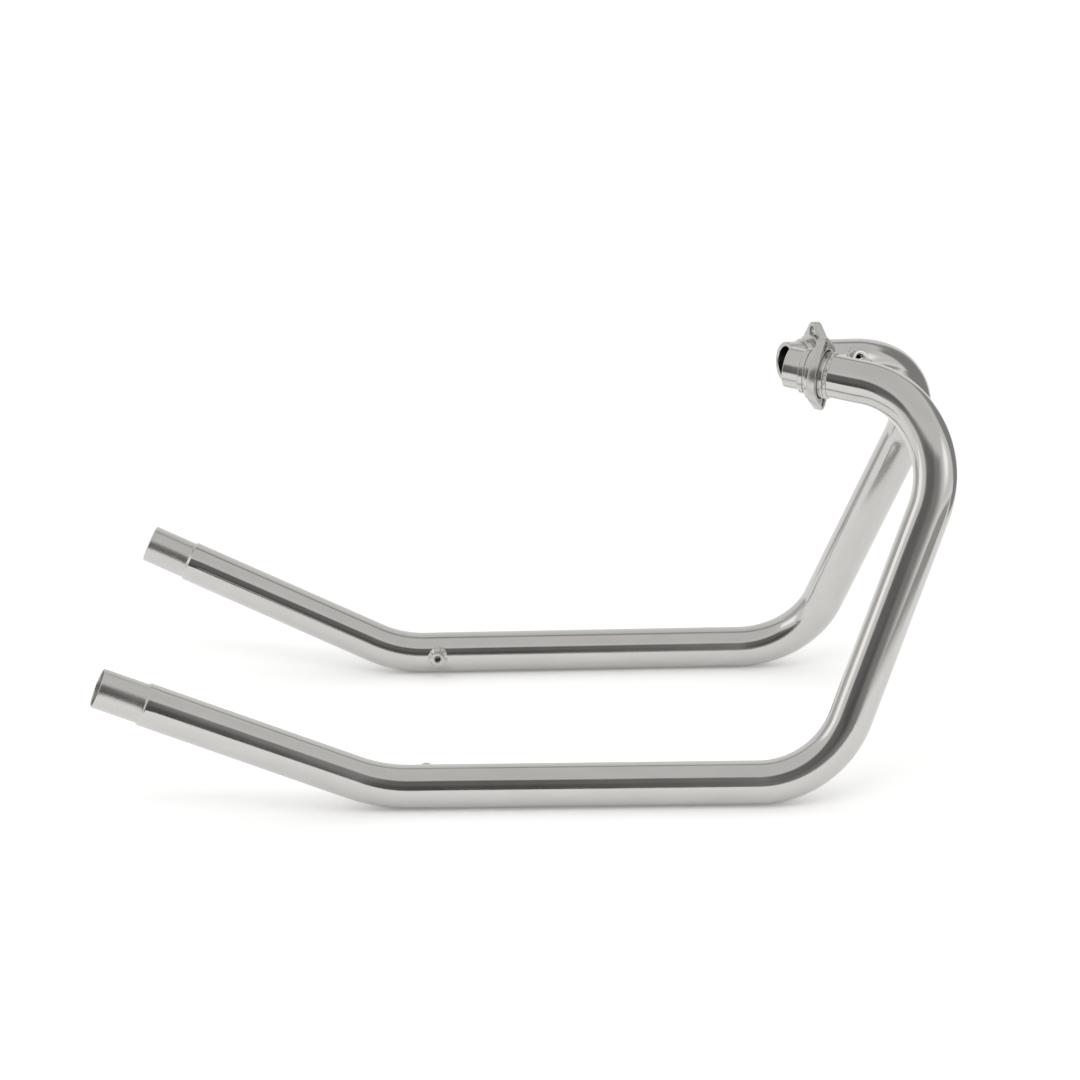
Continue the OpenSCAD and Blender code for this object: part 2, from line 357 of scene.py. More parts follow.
@dataclass(frozen=True)
class SatinPlate:
    """Stainless plate cut to shape, then tumbled to a soft satin."""

    colour: Colour = (0.565, 0.555, 0.538)
    tones: tuple[float, float] = (0.93, 1.05)
    roughness: tuple[float, float] = (0.21, 0.33)
    blotch_scale: float = 70.0
    blotch_depth: float = 0.00012
    grain_scale: float = 900.0
    grain_roughness: float = 0.05
    grain_depth: float = 0.000012

    def material(self) -> Finish:
        """Builds the material over the part's own frame."""
        sheet = NodeSheet("satin_plate")
        spot = sheet.spot()
        blotch = sheet.noise(spot, self.blotch_scale, 4.0)
        grain = sheet.noise(spot, self.grain_scale, 3.0)
        dull = sheet.spread(grain, 0.0, self.grain_roughness)
        rough = sheet.sum("ADD", sheet.spread(blotch, *self.roughness), dull)
        dark, light = (rgba(self.colour, gain) for gain in self.tones)
        slow = sheet.bump(blotch, self.blotch_depth)
        normal = sheet.bump(grain, self.grain_depth, slow)
        return sheet.metal(sheet.mix(blotch, dark, light), rough, normal)


@dataclass(frozen=True)
class WeldMetal:
    """Brushed-off weld: silver ripples with a rough crust, and a faint straw stain."""

    colour: Colour = (0.66, 0.65, 0.64)
    stain: Colour = (0.40, 0.36, 0.31)
    stain_scale: float = 260.0
    stain_from: float = 0.5
    stain_to: float = 0.75
    roughness: tuple[float, float] = (0.18, 0.40)
    crust_scale: float = 1500.0
    crust_depth: float = 0.00008

    def material(self) -> Finish:
        """Builds the material over the part's own frame."""
        sheet = NodeSheet("weld_metal")
        spot = sheet.spot()
        crust = sheet.noise(spot, self.crust_scale, 4.0)
        patches = sheet.noise(spot, self.stain_scale, 3.0)
        share = sheet.span(patches, self.stain_from, self.stain_to, 0.0, 1.0)
        tone = sheet.mix(share, rgba(self.colour), rgba(self.stain))
        rough = sheet.spread(crust, *self.roughness)
        return sheet.metal(tone, rough, sheet.bump(crust, self.crust_depth))


# ---------------------------------------------------------------- geometry node trees


class NodeRecipe(NodeDesk):
    """A geometry node tree with named inputs, run once on an object."""

    def __init__(self, name: str, floats: Sequence[str] = (), counts: Sequence[str] = ()) -> None:
        """Starts a tree that takes and gives a geometry.

        Args:
            name: the tree's name.
            floats: names of the inputs that are sizes or shares.
            counts: names of the inputs that are whole numbers.
        """
        super().__init__(bpy.data.node_groups.new(name, "GeometryNodeTree"))
        board = self.tree.interface
        board.new_socket("Geometry", in_out="INPUT", socket_type="NodeSocketGeometry")
        board.new_socket("Geometry", in_out="OUTPUT", socket_type="NodeSocketGeometry")
        for names, kind in ((floats, "Float"), (counts, "Int"), (("Material",), "Material")):
            for each in names:
                board.new_socket(each, in_out="INPUT", socket_type=f"NodeSocket{kind}")
        self.source = self.tree.nodes.new("NodeGroupInput")
        self.sink = self.tree.nodes.new("NodeGroupOutput")

    def named(self, name: str, kind: str = "FLOAT") -> Socket:
        """Reads a stored attribute."""
        return self.out("GeometryNodeInputNamedAttribute", {"Name": name}, data_type=kind)

    def scaled(self, vector: Socket, scale: Socket) -> Socket:
        """A vector made longer or shorter."""
        return self.out("ShaderNodeVectorMath", {0: vector, "Scale": scale}, operation="SCALE")

    def smooth(self, geometry: Socket) -> Socket:
        """Shades a geometry smooth."""
        values = {"Geometry": geometry, "Shade Smooth": True}
        return self.out("GeometryNodeSetShadeSmooth", values)

    def close(self, geometry: Socket) -> None:
        """Ends the tree in Realize Instances and Set Material."""
        real = self.out("GeometryNodeRealizeInstances", {"Geometry": geometry})
        values = {"Geometry": real, "Material": self.source.outputs["Material"]}
        self.tree.links.new(self.out("GeometryNodeSetMaterial", values), self.sink.inputs[0])

    def run(self, thing: Thing, **inputs: object) -> None:
        """Runs the tree on an object and leaves the result as its plain mesh.

        Args:
            thing: the object that carries the path.
            inputs: values of the named inputs.
        """
        modifier = thing.modifiers.new(self.tree.name, "NODES")
        modifier.node_group = self.tree
        keys = {
            item.name: item.identifier
            for item in self.tree.interface.items_tree
            if item.item_type == "SOCKET" and item.in_out == "INPUT"
        }
        for name, value in inputs.items():
            modifier[keys[name]] = value
        plain = baked(thing)
        thing.modifiers.remove(modifier)
        thing.data = plain


def swept_tube_recipe() -> NodeRecipe:
    """A tree that sweeps a circle along chains of edges, by the radius stored on them."""
    recipe = NodeRecipe("swept_tube", counts=("Segments",))
    take = recipe.source.outputs
    line = recipe.out("GeometryNodeMeshToCurve", {"Mesh": take["Geometry"]})
    ring = recipe.out(
        "GeometryNodeCurvePrimitiveCircle",
        {"Resolution": take["Segments"], "Radius": 1.0},
        mode="RADIUS",
    )
    spot = recipe.out("GeometryNodeInputPosition")
    marked = recipe.out(
        "GeometryNodeStoreNamedAttribute",
        {"Geometry": ring, "Name": "around", "Value": spot},
        data_type="FLOAT_VECTOR",
        domain="POINT",
    )
    skin = recipe.out(
        "GeometryNodeCurveToMesh",
        {"Curve": line, "Profile Curve": marked, "Scale": recipe.named("sweep_radius")},
    )
    inside = recipe.named("inside", "BOOLEAN")
    turned = recipe.out("GeometryNodeFlipFaces", {"Mesh": skin, "Selection": inside})
    joined = recipe.out("GeometryNodeMergeByDistance", {"Geometry": turned, "Distance": TOUCHING})
    recipe.close(recipe.smooth(joined))
    return recipe


def weld_recipe(lump_scale: float = 480.0) -> NodeRecipe:
    """A tree that lays overlapping puddles of weld along a closed chain of edges."""
    recipe = NodeRecipe(
        "weld_bead",
        floats=("Width", "Rise", "Length", "Unevenness", "Crust"),
        counts=("Ripples", "Seed", "Fineness"),
    )
    take = recipe.source.outputs
    line = recipe.out("GeometryNodeMeshToCurve", {"Mesh": take["Geometry"]})
    steps = recipe.out("GeometryNodeResampleCurve", {"Curve": line, "Count": take["Ripples"]})
    puddle = recipe.out(
        "GeometryNodeMeshIcoSphere", {"Radius": 0.5, "Subdivisions": take["Fineness"]}
    )
    outward = recipe.named("outward", "FLOAT_VECTOR")
    tangent = recipe.out("GeometryNodeInputTangent")
    lay = recipe.out(
        "FunctionNodeAxesToRotation",
        {"Primary Axis": outward, "Secondary Axis": tangent},
        primary_axis="Z",
        secondary_axis="X",
    )
    low, high = (recipe.sum(way, 1.0, take["Unevenness"]) for way in ("SUBTRACT", "ADD"))
    chance = recipe.add(
        "FunctionNodeRandomValue", {2: low, 3: high, "Seed": take["Seed"]}, data_type="FLOAT"
    ).outputs[1]
    size = recipe.out(
        "ShaderNodeCombineXYZ", {"X": take["Length"], "Y": take["Width"], "Z": take["Rise"]}
    )
    varied = recipe.scaled(size, chance)
    laid = recipe.out(
        "GeometryNodeInstanceOnPoints",
        {"Points": steps, "Instance": puddle, "Rotation": lay, "Scale": varied},
    )
    solid = recipe.out("GeometryNodeRealizeInstances", {"Geometry": laid})
    lumps = recipe.out(
        "ShaderNodeTexNoise",
        {
            "Vector": recipe.out("GeometryNodeInputPosition"),
            "Scale": lump_scale,
            "Detail": 2.0,
        },
        noise_dimensions="3D",
    )
    push = recipe.sum("MULTIPLY", recipe.sum("SUBTRACT", lumps, 0.5), take["Crust"])
    offset = recipe.scaled(recipe.out("GeometryNodeInputNormal"), push)
    rough = recipe.out("GeometryNodeSetPosition", {"Geometry": solid, "Offset": offset})
    recipe.close(recipe.smooth(rough))
    return recipe


def thread_recipe(steps_per_turn: int = 40, crest_sides: int = 6) -> NodeRecipe:
    """A tree that winds a round-crested thread up the Z axis."""
    recipe = NodeRecipe("screw_thread", floats=("Turns", "Pitch", "Radius", "Depth"))
    take = recipe.source.outputs
    coil = recipe.out(
        "GeometryNodeCurveSpiral",
        {
            "Resolution": steps_per_turn,
            "Rotations": take["Turns"],
            "Start Radius": take["Radius"],
            "End Radius": take["Radius"],
            "Height": recipe.sum("MULTIPLY", take["Turns"], take["Pitch"]),
        },
    )
    crest = recipe.out(
        "GeometryNodeCurvePrimitiveCircle",
        {"Resolution": crest_sides, "Radius": take["Depth"]},
        mode="RADIUS",
    )
    recipe.close(
        recipe.out(
            "GeometryNodeCurveToMesh", {"Curve": coil, "Profile Curve": crest, "Fill Caps": True}
        )
    )
    return recipe


# ---------------------------------------------------------------- the bent tube's layout


@dataclass(frozen=True)
class Bend:
    """One stroke of the tube bender."""

    turn_degrees: float
    angle_degrees: float
    radius: float

    def past(self, share: float = 1.0) -> Matrix:
        """The step from the bend's start to a share of its angle."""
        return (
            turn(self.turn_degrees, "X")
            @ shift(z=self.radius)
            @ turn(-self.angle_degrees * share, "Y")
            @ shift(z=-self.radius)
        )


@dataclass(frozen=True)
class PipeLayout:
    """The bender's list of one pipe, and where the pipe stands."""

    side: Side
    lean_degrees: float
    tube_radius: float = 0.01905
    tube_wall: float = 0.0015
    bend_draw: float = 0.0001
    run_offset: float = 0.1765
    run_yaw_degrees: float = 0.5
    stance: tuple[float, float] = (0.048, 0.0032)
    run_length: float = 0.300
    rear_bend: Bend = Bend(-29.5, 25.0, 0.118)
    rear_steps: int = 20
    tail_length: float = 0.2348
    front_bend: Bend = Bend(0.0, 69.0, 0.086)
    riser_length: float = 0.1885
    head_bend_1: Bend = Bend(26.0, 55.5, 0.086)
    head_straight: float = 0.003
    head_bend_2: Bend = Bend(-7.5, 43.0, 0.078)
    neck_length: float = 0.0705
    fine_step: float = 0.0025
    coarse_step: float = 0.010

    def run(self) -> Matrix:
        """The rear end of the lower run, +X forwards and +Z in the front bend's plane."""
        stand = (
            shift(-self.run_length / 2, self.run_offset, self.tube_radius)
            @ turn(self.run_yaw_degrees, "Z")
            @ turn(self.lean_degrees, "X")
        )
        flip = MIRROR_Y if self.side is Side.RIGHT else Matrix.Identity(4)
        return shift(*self.stance) @ flip @ stand

    def mouth(self) -> Matrix:
        """The mouth of the port collar, +X out of it."""
        return (
            self.run()
            @ shift(self.run_length)
            @ self.front_bend.past()
            @ shift(self.riser_length)
            @ self.head_bend_1.past()
            @ shift(self.head_straight)
            @ self.head_bend_2.past()
            @ shift(self.neck_length)
        )

    def tail(self) -> Matrix:
        """The front end of the tail's straight, +X towards the tail end."""
        return self.run() @ MIRROR_X @ self.rear_bend.past()

    def stretch(self, start: Matrix, length: float, step: float) -> list[Vector]:
        """Points along a straight, without its first."""
        count = max(1, round(length / step))
        return [(start @ shift(length * i / count)).translation for i in range(1, count + 1)]

    def sweep(self, start: Matrix, bend: Bend) -> list[Vector]:
        """Points along a bend, without its first."""
        count = max(2, round(math.radians(bend.angle_degrees) * bend.radius / self.fine_step))
        return [(start @ bend.past(i / count)).translation for i in range(1, count + 1)]

    def centreline(self, collar_depth: float) -> tuple[list[Vector], list[float]]:
        """The tube's middle from the front end of the tail to inside the collar.

        Args:
            collar_depth: how far short of the mouth the tube stops.

        Returns:
            The points, and at each one 1 in a bend or 0 in a straight.
        """
        here = self.run()
        rear = here @ MIRROR_X
        points: list[Vector] = [self.tail().translation.copy()]
        points += [
            (rear @ self.rear_bend.past(1 - i / self.rear_steps)).translation
            for i in range(1, self.rear_steps + 1)
        ]
        bent = [0.0] + [1.0] * self.rear_steps
        steps: list[tuple[float, Bend | None, float]] = [
            (self.run_length, self.front_bend, self.coarse_step),
            (self.riser_length, self.head_bend_1, self.coarse_step),
            (self.head_straight, self.head_bend_2, self.fine_step),
            (self.neck_length - collar_depth, None, self.fine_step),
        ]
        for length, bend, step in steps:
            straight = self.stretch(here, length, step)
            points += straight
            bent += [0.0] * len(straight)
            here = here @ shift(length)
            if bend is not None:
                curve = self.sweep(here, bend)
                points += curve
                bent += [1.0] * len(curve)
                here = here @ bend.past()
        return points, bent


# ---------------------------------------------------------------- pieces


@dataclass
class BentPipe:
    """The header tube of one side, from its spigot to where it stops inside the collar."""

    layout: PipeLayout
    spigot_radius: float = 0.0175
    spigot_length: float = 0.040
    shoulder_length: float = 0.003
    spigot_edge: float = 0.001
    collar_depth: float = 0.0227
    end_face: float = 0.00001
    tail_steps: int = 20
    shoulder_steps: int = 12
    spigot_steps: int = 5
    ease_points: int = 5
    segments: int = 112
    # Added to the inner skin's way along, so that its pattern isn't the outer skin's.
    inner_shift: float = 2.0
    drill_reach: tuple[float, float] = (0.004, 0.003)
    drill_sides: int = 48
    sharp_degrees: float = 40.0

    def skin_profile(self, radius: float, spigot: float) -> list[tuple[float, float]]:
        """Stations of the tail from its front end to the spigot's end, as distance and radius."""
        shoulder = self.layout.tail_length - self.spigot_length - self.shoulder_length
        foot = shoulder + self.shoulder_length
        end = self.layout.tail_length - self.spigot_edge
        count = self.tail_steps
        stations = [(shoulder * i / count, radius) for i in range(1, count)]
        for i in range(self.shoulder_steps + 1):
            share = i / self.shoulder_steps
            ease = share * share * (3 - 2 * share)
            at = shoulder + self.shoulder_length * share
            stations.append((at, radius - (radius - spigot) * ease))
        count = self.spigot_steps
        stations += [(foot + (end - foot) * i / count, spigot) for i in range(1, count + 1)]
        return stations

    def chain(self, inside: bool) -> tuple[list[Vector], list[float]]:
        """The points and radii of the outer or the inner skin, from the collar to the tail end."""
        wall = self.layout.tube_wall if inside else 0.0
        half = self.layout.tube_wall / 2
        radius = self.layout.tube_radius - wall
        spigot = self.spigot_radius - wall
        middle, bent = self.layout.centreline(self.collar_depth)
        kernel = np.ones(self.ease_points) / self.ease_points
        padded = np.pad(np.array(bent), self.ease_points // 2, mode="edge")
        eased = np.convolve(padded, kernel, mode="valid")
        end = self.layout.mouth() @ shift(-self.collar_depth + self.end_face)
        points = [end.translation, *reversed(middle)]
        radii = [self.layout.tube_radius - half]
        radii += [radius - self.layout.bend_draw * float(b) for b in reversed(eased)]
        tail = self.layout.tail()
        for along, r in self.skin_profile(radius, spigot):
            points.append((tail @ shift(along)).translation)
            radii.append(r)
        edge = self.spigot_edge
        lip = self.layout.tail_length - edge
        target = self.spigot_radius - half
        for i in range(1, self.spigot_steps + 1):
            angle = math.radians(90 * i / self.spigot_steps)
            points.append((tail @ shift(lip + edge * math.sin(angle))).translation)
            radii.append(target + (spigot - target) * math.cos(angle))
        return points, radii

    def build(self, recipe: NodeRecipe, finish: Finish) -> Thing:
        """Sweeps both skins along the bender's list and joins them at the tail's lip."""
        points: list[Vector] = []
        edges: list[tuple[int, int]] = []
        radii: list[float] = []
        inner: list[bool] = []
        along: list[float] = []
        drawn: list[float] = []
        for inside in (False, True):
            chain, chain_radii = self.chain(inside)
            full = self.layout.tube_radius - (self.layout.tube_wall if inside else 0.0)
            drop = self.layout.tube_radius - self.spigot_radius
            drawn += [float(np.clip((full - r) / drop, 0.0, 1.0)) for r in chain_radii]
            first = len(points)
            points += chain
            edges += [(first + i, first + i + 1) for i in range(len(chain) - 1)]
            radii += chain_radii
            inner += [inside] * len(chain)
            travelled = 0.0
            for i, point in enumerate(chain):
                travelled += (point - chain[i - 1]).length if i else 0.0
                along.append(travelled + (self.inner_shift if inside else 0.0))
        thing = mesh_object(f"{self.layout.side.value}_bent_tube", points, edges, [])
        store(thing, "sweep_radius", "FLOAT", radii)
        store(thing, "inside", "BOOLEAN", inner)
        store(thing, "along", "FLOAT", along)
        store(thing, "drawn", "FLOAT", drawn)
        recipe.run(thing, Segments=self.segments, Material=finish)
        return thing

    def drill(self, thing: Thing, where: Matrix, radius: float) -> None:
        """Drills a round hole through the wall.

        Args:
            thing: the tube.
            where: the frame on the hole's axis, +Z away from the tube.
            radius: the hole's radius.
        """
        below, above = self.drill_reach
        low, high = self.layout.tube_radius - below, self.layout.tube_radius + above
        count = self.drill_sides
        angles = np.linspace(0, FULL_TURN, count, endpoint=False)
        points = [
            (radius * math.cos(a), radius * math.sin(a), z) for z in (low, high) for a in angles
        ]
        faces = band_faces(2, count)
        faces += [tuple(reversed(range(count))), tuple(range(count, 2 * count))]
        bit = mesh_object("drill_bit", points, [], faces)
        place(bit, where)
        cut = thing.modifiers.new("hole", "BOOLEAN")
        cut.operation, cut.solver, cut.object = "DIFFERENCE", "EXACT", bit
        plain = baked(thing)
        thing.modifiers.remove(cut)
        thing.data = plain
        bpy.data.objects.remove(bit)
        shade(thing, self.sharp_degrees)


@dataclass
class Lathe:
    """A piece turned on a lathe: its outline goes round the local X axis."""

    name: str
    outline: list[tuple[float, float]]
    segments: int = 112
    sharp_degrees: float = 28.0

    def build(self, where: Matrix, finish: Finish) -> Thing:
        """Turns the outline and places the piece.

        Args:
            where: the frame whose X axis is the piece's own.
            finish: the material.

        Returns:
            The finished object.
        """
        points: list[tuple[float, float, float]] = []
        along: list[float] = []
        travelled = 0.0
        for i, (x, r) in enumerate(self.outline):
            if i:
                travelled += math.dist(self.outline[i - 1], (x, r))
            for k in range(self.segments):
                angle = FULL_TURN * k / self.segments
                points.append((x, r * math.cos(angle), r * math.sin(angle)))
                along.append(travelled)
        bands = band_faces(len(self.outline), self.segments, closed=True)
        faces = [(a, d, c, b) for a, b, c, d in bands]
        thing = mesh_object(self.name, points, [], faces)
        store(thing, "along", "FLOAT", along)
        place(thing, where)
        shade(thing, self.sharp_degrees)
        thing.data.materials.append(finish)
        return thing


@dataclass
class WeldPath:
    """A bead of overlapping puddles along a closed line."""

    name: str
    ripples: int
    width: float
    rise: float
    length: float
    tip: float = 0.30
    unevenness: float = 0.12
    seed: int = 7
    fineness: int = 3
    crust: float = 0.0012

    def build(
        self,
        recipe: NodeRecipe,
        finish: Finish,
        where: Matrix,
        line: list[tuple[Vector, Vector]],
    ) -> Thing:
        """Lays the bead.

        Args:
            recipe: the weld tree.
            finish: the material.
            where: the frame that the line is given in.
            line: points of the closed line, each with its direction out of the joint.

        Returns:
            The finished object.
        """
        spun = where.to_3x3()
        points = [where @ p for p, _ in line]
        count = len(points)
        outward: list[float] = []
        for i, (_, out) in enumerate(line):
            ahead = (points[(i + 1) % count] - points[i - 1]).normalized()
            tipped = (spun @ out).normalized() + ahead * self.tip
            outward += list(tipped.normalized())
        thing = mesh_object(self.name, points, [(i, (i + 1) % count) for i in range(count)], [])
        store(thing, "outward", "FLOAT_VECTOR", outward)
        recipe.run(
            thing,
            Ripples=self.ripples,
            Width=self.width,
            Rise=self.rise,
            Length=self.length,
            Unevenness=self.unevenness,
            Seed=self.seed,
            Fineness=self.fineness,
            Crust=self.crust,
            Material=finish,
        )
        return thing


@dataclass
class PortCollar:
    """The turned collar at the mouth, with its weld to the tube."""

    layout: PipeLayout
    nose_radius: float = 0.0179
    nose_bore: float = 0.014
    nose_length: float = 0.015
    ring_radius: float = 0.0203
    ring_length: float = 0.005
    groove_radius: float = 0.0193
    groove_length: float = 0.0026
    lip_radius: float = 0.024
    lip_length: float = 0.0036
    sleeve_radius: float = 0.0207
    sleeve_length: float = 0.0115
    socket_length: float = 0.015
    edge: float = 0.0006
    seat: float = 0.00005
    bead_width: float = 0.0042
    bead_rise: float = 0.00272
    bead_behind: float = 0.001764
    bead_above: float = 0.000288
    bead_ripples: int = 62
    bead_points: int = 180

    @property
    def sleeve_end(self) -> float:
        """Distance from the mouth to the collar's rear face."""
        front = self.nose_length + self.ring_length + self.groove_length
        return front + self.lip_length + self.sleeve_length

    def outline(self) -> list[tuple[float, float]]:
        """The collar's closed outline, as distance along X and radius."""
        e = self.edge
        ring = self.nose_length
        groove = ring + self.ring_length
        lip = groove + self.groove_length
        sleeve = lip + self.lip_length
        end = self.sleeve_end
        stop = end - self.socket_length - self.seat
        socket = self.layout.tube_radius + self.seat
        steps = [
            (e, self.nose_bore),
            (0.0, self.nose_bore + e),
            (0.0, self.nose_radius - e),
            (e, self.nose_radius),
            (ring, self.nose_radius),
            (ring, self.ring_radius - e),
            (ring + e, self.ring_radius),
            (groove - e, self.ring_radius),
            (groove, self.ring_radius - e),
            (groove, self.groove_radius),
            (lip, self.groove_radius),
            (lip, self.lip_radius - e),
            (lip + e, self.lip_radius),
            (sleeve - e, self.lip_radius),
            (sleeve, self.lip_radius - e),
            (sleeve, self.sleeve_radius),
            (end - e, self.sleeve_radius),
            (end, self.sleeve_radius - e),
            (end, socket),
            (stop, socket),
            (stop, self.nose_bore),
        ]
        return [(-x, r) for x, r in steps]

    def build(self, finish: Finish) -> Thing:
        """Turns the collar at the mouth."""
        lathe = Lathe(f"{self.layout.side.value}_turned_collar", self.outline())
        return lathe.build(self.layout.mouth(), finish)

    def weld(self, recipe: NodeRecipe, finish: Finish) -> Thing:
        """Lays the bead round the tube behind the collar."""
        middle = self.layout.mouth() @ shift(-self.sleeve_end - self.bead_behind)
        radius = self.layout.tube_radius + self.bead_above
        line = [
            (
                Vector((0.0, radius * math.cos(a), radius * math.sin(a))),
                Vector((0.0, math.cos(a), math.sin(a))),
            )
            for a in np.linspace(0, FULL_TURN, self.bead_points, endpoint=False)
        ]
        bead = WeldPath(
            f"{self.layout.side.value}_collar_bead",
            ripples=self.bead_ripples,
            width=self.bead_width,
            rise=self.bead_rise,
            length=self.bead_width,
        )
        return bead.build(recipe, finish, middle, line)


@dataclass
class PortFlange:
    """The loose two-stud flange that turns on the collar."""

    layout: PipeLayout
    thickness: float = 0.007
    bore_radius: float = 0.0216
    middle_radius: float = 0.027
    stud_reach: float = 0.027
    stud_hole_radius: float = 0.00425
    ear_radius: float = 0.008
    start: float = 0.0266
    turn_degrees: float = 38.0
    edge: float = 0.0006
    edge_steps: int = 2
    bore_steps: int = 96
    hole_steps: int = 48
    sharp_degrees: float = 25.0

    def arc(
        self, x: float, r: float, start: float, end: float, steps: int = 32
    ) -> list[tuple[float, float]]:
        """Points of an arc round a centre on the ear line."""
        angles = [start + (end - start) * i / steps for i in range(steps + 1)]
        return [(x + r * math.cos(a), r * math.sin(a)) for a in angles]

    def outer(self) -> list[tuple[float, float]]:
        """The flange's outline: a round middle drawn out to an ear at each stud."""
        a = math.acos((self.middle_radius - self.ear_radius) / self.stud_reach)
        half = math.pi
        points = self.arc(self.stud_reach, self.ear_radius, -a, a)
        points += self.arc(0.0, self.middle_radius, a, half - a)[1:-1]
        points += self.arc(-self.stud_reach, self.ear_radius, half - a, half + a)
        points += self.arc(0.0, self.middle_radius, half + a, FULL_TURN - a)[1:-1]
        return points

    def build(self, finish: Finish) -> Thing:
        """Cuts the flange from plate, breaks its edges and hangs it on the collar."""
        sheet = bpy.data.curves.new("flange_outline", "CURVE")
        sheet.dimensions = "2D"
        sheet.fill_mode = "BOTH"
        sheet.extrude = self.thickness / 2 - self.edge
        sheet.bevel_depth = self.edge
        sheet.bevel_resolution = self.edge_steps
        sheet.offset = -self.edge
        loops = [self.outer(), self.arc(0.0, self.bore_radius, 0, FULL_TURN, self.bore_steps)[:-1]]
        for reach in (-self.stud_reach, self.stud_reach):
            hole = self.arc(reach, self.stud_hole_radius, 0, FULL_TURN, self.hole_steps)
            loops.append(hole[:-1])
        for loop in loops:
            spline = sheet.splines.new("POLY")
            spline.points.add(len(loop) - 1)
            for point, (x, y) in zip(spline.points, loop):
                point.co = (x, y, 0.0, 1.0)
            spline.use_cyclic_u = True
        stencil = link("flange_stencil", sheet)
        plain = baked(stencil, every_layer=False)
        bpy.data.objects.remove(stencil)
        thing = link(f"{self.layout.side.value}_stud_flange", plain)
        weld_doubles(thing)
        plate = (
            self.layout.mouth()
            @ shift(-self.start)
            @ turn(self.turn_degrees, "X")
            @ turn(-90, "Y")
            @ shift(z=self.thickness / 2)
        )
        place(thing, plate)
        shade(thing, self.sharp_degrees)
        thing.data.materials.clear()
        thing.data.materials.append(finish)
        return thing


@dataclass
class ThreadedBoss:
    """A turned boss welded to the tube, with a real thread in its hole."""

    name: str
    tube_radius: float
    outer_radius: float
    crest_radius: float
    thread_depth: float
    rise: float
    hole_depth: float
    through: bool
    bead_width: float
    bead_rise: float
    bead_length: float
    ripples: int
    seed: int
    unevenness: float
    crust: float
    pitch: float = 0.001
    edge: float = 0.0006
    foot_sink: float = 0.0004
    # The hole's lead-in and the thread's run-out, in edges.
    lead_in: float = 1.2
    run_out: float = 2.2
    sharp_degrees: float = 28.0
    segments: int = 96
    bead_spread: float = 1.4
    bead_set: float = 0.10
    bead_lean: float = 0.8
    bead_points: int = 160
    fineness: int = 4

    @property
    def top(self) -> float:
        """Height of the boss's face above the tube's middle."""
        return self.tube_radius + self.rise

    @property
    def root(self) -> float:
        """Radius of the hole at the thread's root."""
        return self.crest_radius + self.thread_depth

    def foot(self, angle: float, radius: float) -> float:
        """Height of the tube's surface under a point of the boss."""
        across = radius * math.sin(angle)
        return math.sqrt(self.tube_radius**2 - across**2)

    def build(self, where: Matrix, finish: Finish) -> Thing:
        """Turns the boss, with its foot shaped to the tube.

        Args:
            where: the frame on the boss's axis, +Z away from the tube.
            finish: the material.

        Returns:
            The finished object.
        """
        e = self.edge
        sink = self.lead_in * e
        rings = [
            (None, self.outer_radius),
            (self.top - e, self.outer_radius),
            (self.top, self.outer_radius - e),
            (self.top, self.root + sink),
            (self.top - sink, self.root),
            (self.top - self.hole_depth, self.root),
        ]
        n = self.segments
        points: list[tuple[float, float, float]] = []
        for height, radius in rings:
            for k in range(n):
                angle = FULL_TURN * k / n
                z = self.foot(angle, radius) - self.foot_sink if height is None else height
                points.append((radius * math.cos(angle), radius * math.sin(angle), z))
        along = [point[2] + rings[i // n][1] for i, point in enumerate(points)]
        faces = band_faces(len(rings), n)
        if not self.through:
            faces.append(tuple((len(rings) - 1) * n + k for k in range(n)))
        thing = mesh_object(f"{self.name}_body", points, [], faces)
        store(thing, "along", "FLOAT", along)
        place(thing, where)
        shade(thing, self.sharp_degrees)
        thing.data.materials.append(finish)
        return thing

    def thread(self, recipe: NodeRecipe, where: Matrix, finish: Finish) -> Thing:
        """Winds the thread inside the hole."""
        thing = mesh_object(f"{self.name}_thread", [(0.0, 0.0, 0.0)], [], [])
        recipe.run(
            thing,
            Turns=(self.hole_depth - self.run_out * self.edge) / self.pitch,
            Pitch=self.pitch,
            Radius=self.root,
            Depth=self.thread_depth,
            Material=finish,
        )
        place(thing, where @ shift(z=self.top - self.hole_depth + 0.5 * self.pitch))
        return thing

    def weld(self, recipe: NodeRecipe, where: Matrix, finish: Finish) -> Thing:
        """Lays the bead round the boss's foot."""
        line: list[tuple[Vector, Vector]] = []
        radius = self.outer_radius + self.bead_width * self.bead_set
        for a in np.linspace(0, FULL_TURN, self.bead_points, endpoint=False):
            z = self.foot(a, radius)
            surface = Vector((0.0, radius * math.sin(a), z)).normalized()
            wall = Vector((math.cos(a), math.sin(a), 0.0))
            spot = Vector((radius * math.cos(a), radius * math.sin(a), z))
            line.append((spot, surface + wall * self.bead_lean))
        bead = WeldPath(
            f"{self.name}_bead",
            ripples=self.ripples,
            width=self.bead_width * self.bead_spread,
            rise=self.bead_rise,
            length=self.bead_length,
            unevenness=self.unevenness,
            seed=self.seed,
            fineness=self.fineness,
            crust=self.crust,
        )
        return bead.build(recipe, finish, where, line)


# ---------------------------------------------------------------- one side of the header


@dataclass
class Finishes:
    """The four finishes of the header, made once."""

    tube: Finish = field(default_factory=lambda: PolishedTube().material())
    turned: Finish = field(default_factory=lambda: TurnedSteel().material())
    plate: Finish = field(default_factory=lambda: SatinPlate().material())
    weld: Finish = field(default_factory=lambda: WeldMetal().material())


@dataclass
class Recipes:
    """The three geometry node trees, made once."""

    tube: NodeRecipe = field(default_factory=swept_tube_recipe)
    weld: NodeRecipe = field(default_factory=weld_recipe)
    thread: NodeRecipe = field(default_factory=thread_recipe)


